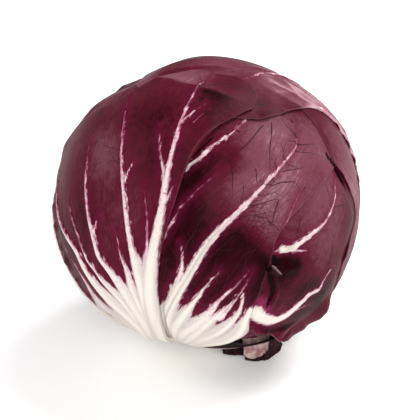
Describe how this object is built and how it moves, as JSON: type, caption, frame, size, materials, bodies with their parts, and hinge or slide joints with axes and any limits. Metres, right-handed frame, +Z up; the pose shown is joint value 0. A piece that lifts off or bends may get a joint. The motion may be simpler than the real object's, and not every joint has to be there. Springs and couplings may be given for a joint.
{
  "type": "radicchio head",
  "caption": "Round head of red radicchio with overlapping wine-red leaves, raised white ribs fanning from the stem, a torn old leaf below, resting on its side of the stem end",
  "frame": {"origin": "middle of the small flat that the head rests on, under its weight", "axes": "+Z up, +X to the viewer's right, -Y towards the viewer, with the stem low at the front and the crown leaning back"},
  "size_m": [0.12, 0.1211, 0.1166],
  "materials": {
    "leaf_front_left": "waxy leaf, satin",
    "leaf_crown": "waxy leaf, satin",
    "leaf_far_right": "waxy leaf, satin",
    "leaf_front_right": "waxy leaf, satin",
    "leaf_right": "waxy leaf, satin",
    "leaf_back": "waxy leaf, satin",
    "leaf_back_left": "waxy leaf, satin",
    "leaf_torn": "dried leaf, matt",
    "heart": "waxy leaf, satin",
    "stem": "cut stem, matt"
  },
  "bodies": {
    "root": {"leaf_front_left": "leaf_front_left", "leaf_crown": "leaf_crown", "leaf_far_right": "leaf_far_right", "leaf_front_right": "leaf_front_right", "leaf_right": "leaf_right", "leaf_back": "leaf_back", "leaf_back_left": "leaf_back_left", "leaf_torn": "leaf_torn", "heart": "heart", "stem": "stem"}
  },
  "joints": []
}
